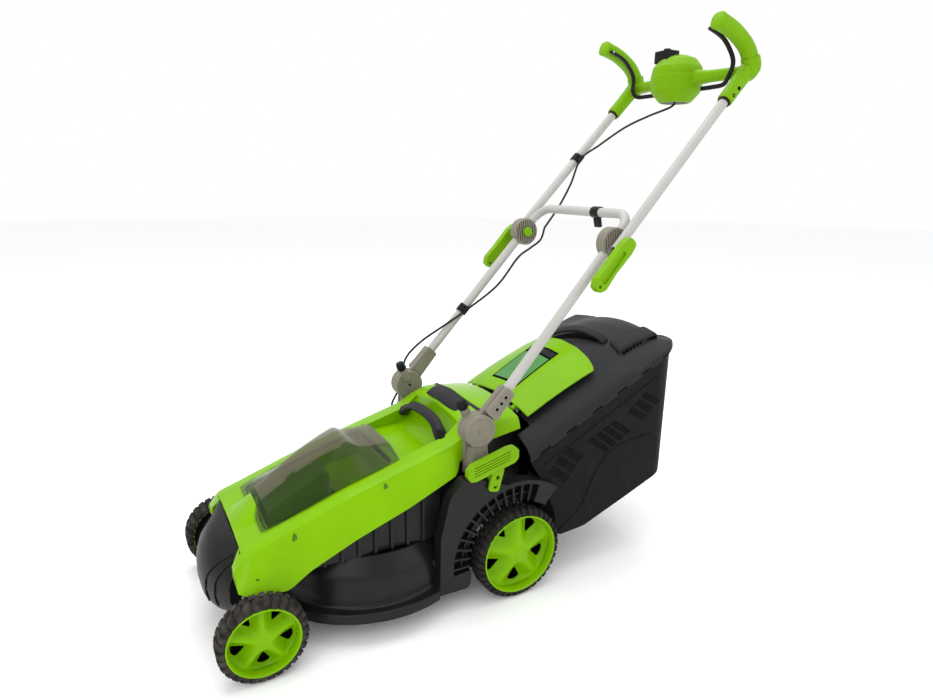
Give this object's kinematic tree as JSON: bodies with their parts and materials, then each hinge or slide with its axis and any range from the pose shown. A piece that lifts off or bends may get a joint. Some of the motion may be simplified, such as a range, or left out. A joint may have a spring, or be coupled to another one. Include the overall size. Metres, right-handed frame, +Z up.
{
  "type": "push lawn mower",
  "caption": "Walk-behind battery rotary lawn mower with folding tubular handle, rear grass box, hinged battery hatch and rear flap, spoked wheels on cranked axles with a height lever.",
  "frame": {"origin": "centre of the bounding box's footprint, on the ground the wheels stand on", "axes": "+X to the mower's own left, +Y back to the operator (it is pushed along -Y), +Z up"},
  "size_m": [0.442, 1.165, 1.1445],
  "materials": {
    "lime_gloss": "glossy moulded lime green",
    "lime_satin": "satin moulded lime green",
    "black_plastic": "satin black moulding",
    "charcoal_plastic": "fine-grained charcoal moulding",
    "box_black": "grained black moulding",
    "warm_grey_plastic": "warm grey satin moulding",
    "tube_coated": "pale grey satin coating on aluminium tube",
    "steel": "plain steel",
    "tyre_rubber": "matt tread, dusty at the front",
    "smoke_plastic": "smoked translucent moulding",
    "cable_rubber": "black cable sheath"
  },
  "bodies": {
    "deck": {"deck_shell": "black_plastic", "motor_bay_wall": "black_plastic", "left_wheel_arch": "black_plastic", "right_wheel_arch": "black_plastic", "discharge_chute": "black_plastic", "top_cover": "lime_gloss", "front_panel": "black_plastic", "battery_tray": "lime_gloss", "motor": "steel", "motor_controller": "charcoal_plastic", "flap_pin": "steel", "carry_handle": "charcoal_plastic", "name_plate": "charcoal_plastic", "left_handle_bracket": "warm_grey_plastic", "right_handle_bracket": "warm_grey_plastic", "cable_foot": "cable_rubber"},
    "front_axle": {"front_axle": "steel"},
    "rear_axle": {"rear_axle": "steel", "height_lever": "lime_satin"},
    "height_link": {"height_link": "steel"},
    "rotor": {"motor_shaft": "steel", "blade": "steel", "blade_bolt": "steel"},
    "battery_hatch": {"battery_hatch": "smoke_plastic"},
    "battery_pack": {"battery_pack": "charcoal_plastic"},
    "safety_key": {"safety_key": "lime_satin"},
    "rear_flap": {"rear_flap": "lime_gloss"},
    "grass_box": {"grass_box_lid": "charcoal_plastic", "grass_box_body": "box_black"},
    "lower_handle": {"lower_handle_tube": "tube_coated", "left_pivot_socket": "warm_grey_plastic", "right_pivot_socket": "warm_grey_plastic", "left_fold_disc": "warm_grey_plastic", "right_fold_disc": "warm_grey_plastic", "lower_cable_clip": "black_plastic", "cable_lower": "cable_rubber"},
    "upper_handle": {"left_upper_tube": "tube_coated", "right_upper_tube": "tube_coated", "left_fold_bolt": "lime_satin", "right_fold_bolt": "lime_satin", "handlebar": "lime_satin", "switch_block": "black_plastic", "upper_cable_clip": "black_plastic", "cable_upper": "cable_rubber"},
    "start_button": {"start_button": "charcoal_plastic"},
    "front_left_wheel": {"front_left_tyre": "tyre_rubber", "front_left_rim": "lime_gloss"},
    "front_right_wheel": {"front_right_tyre": "tyre_rubber", "front_right_rim": "lime_gloss"},
    "rear_left_wheel": {"rear_left_tyre": "tyre_rubber", "rear_left_rim": "lime_gloss"},
    "rear_right_wheel": {"rear_right_tyre": "tyre_rubber", "rear_right_rim": "lime_gloss"},
    "left_lock_knob": {"left_lock_knob": "black_plastic"},
    "left_cam_lever": {"left_cam_lever": "lime_satin"},
    "left_switch_lever": {"left_switch_lever": "black_plastic"},
    "right_lock_knob": {"right_lock_knob": "black_plastic"},
    "right_cam_lever": {"right_cam_lever": "lime_satin"},
    "right_switch_lever": {"right_switch_lever": "black_plastic"}
  },
  "joints": [
    {"name": "height_lever_pivot", "type": "hinge", "parent": "deck", "child": "rear_axle", "pos_m": [0, -0.03915, 0.09], "axis": [-1, 0, 0], "range_deg": [0, 30]},
    {"name": "front_crank_pivot", "type": "hinge", "parent": "deck", "child": "front_axle", "pos_m": [0, -0.54215, 0.071], "axis": [-1, 0, 0], "range_deg": [0, 30]},
    {"name": "link_pivot", "type": "hinge", "parent": "rear_axle", "child": "height_link", "pos_m": [0, -0.03915, 0.186], "axis": [1, 0, 0], "range_deg": [0, 30]},
    {"name": "front_left_wheel_spin", "type": "hinge", "parent": "front_axle", "child": "front_left_wheel", "pos_m": [0.199, -0.5065, 0.076], "axis": [1, 0, 0], "continuous": true},
    {"name": "front_right_wheel_spin", "type": "hinge", "parent": "front_axle", "child": "front_right_wheel", "pos_m": [-0.199, -0.5065, 0.076], "axis": [1, 0, 0], "continuous": true},
    {"name": "rear_left_wheel_spin", "type": "hinge", "parent": "rear_axle", "child": "rear_left_wheel", "pos_m": [0.192, -0.0035, 0.095], "axis": [1, 0, 0], "continuous": true},
    {"name": "rear_right_wheel_spin", "type": "hinge", "parent": "rear_axle", "child": "rear_right_wheel", "pos_m": [-0.192, -0.0035, 0.095], "axis": [1, 0, 0], "continuous": true},
    {"name": "blade_spin", "type": "hinge", "parent": "deck", "child": "rotor", "pos_m": [0, -0.2575, 0.064], "axis": [0, 0, 1], "continuous": true},
    {"name": "battery_hatch_hinge", "type": "hinge", "parent": "deck", "child": "battery_hatch", "pos_m": [0, -0.4835, 0.2096], "axis": [1, 0, 0], "range_deg": [0, 65]},
    {"name": "battery_pull", "type": "slide", "parent": "deck", "child": "battery_pack", "axis": [0, -0.1159, 0.9933], "range_m": [0, 0.01]},
    {"name": "safety_key_pull", "type": "slide", "parent": "deck", "child": "safety_key", "axis": [0, 0, 1], "range_m": [0, 0.02]},
    {"name": "rear_flap_hinge", "type": "hinge", "parent": "deck", "child": "rear_flap", "pos_m": [0, 0.0565, 0.35], "axis": [1, 0, 0], "range_deg": [0, 70]},
    {"name": "grass_box_pull", "type": "slide", "parent": "deck", "child": "grass_box", "axis": [0, 1, 0], "range_m": [0, 0.3]},
    {"name": "lower_fold", "type": "hinge", "parent": "deck", "child": "lower_handle", "pos_m": [0, -0.0825, 0.359], "axis": [1, 0, 0], "range_deg": [0, 130]},
    {"name": "upper_fold", "type": "hinge", "parent": "lower_handle", "child": "upper_handle", "pos_m": [0, 0.22582, 0.69903], "axis": [1, 0, 0], "range_deg": [-90, 0]},
    {"name": "left_lock_knob_pull", "type": "slide", "parent": "deck", "child": "left_lock_knob", "axis": [0, -0.4226, 0.9063], "range_m": [0, 0.008], "stiffness_N_per_m": 800},
    {"name": "right_lock_knob_pull", "type": "slide", "parent": "deck", "child": "right_lock_knob", "axis": [0, -0.4226, 0.9063], "range_m": [0, 0.008], "stiffness_N_per_m": 800},
    {"name": "left_cam_swing", "type": "hinge", "parent": "upper_handle", "child": "left_cam_lever", "pos_m": [0.207, 0.22582, 0.69903], "axis": [0, -0.7408, 0.6717], "range_deg": [0, 90]},
    {"name": "right_cam_swing", "type": "hinge", "parent": "upper_handle", "child": "right_cam_lever", "pos_m": [-0.207, 0.22582, 0.69903], "axis": [0, 0.7408, -0.6717], "range_deg": [0, 90]},
    {"name": "left_switch_squeeze", "type": "hinge", "parent": "upper_handle", "child": "left_switch_lever", "pos_m": [0.15, 0.4585, 1.118], "axis": [1, 0, 0], "range_deg": [0, 4], "stiffness_Nm_per_rad": 6},
    {"name": "right_switch_squeeze", "type": "hinge", "parent": "upper_handle", "child": "right_switch_lever", "pos_m": [-0.15, 0.4585, 1.118], "axis": [1, 0, 0], "range_deg": [0, 4], "stiffness_Nm_per_rad": 6},
    {"name": "start_press", "type": "slide", "parent": "upper_handle", "child": "start_button", "axis": [0, 0, -1], "range_m": [0, 0.004], "stiffness_N_per_m": 600}
  ],
  "couplings": [
    {"joint": "front_crank_pivot", "follows": "height_lever_pivot", "ratio": 1},
    {"joint": "link_pivot", "follows": "height_lever_pivot", "ratio": 1}
  ]
}
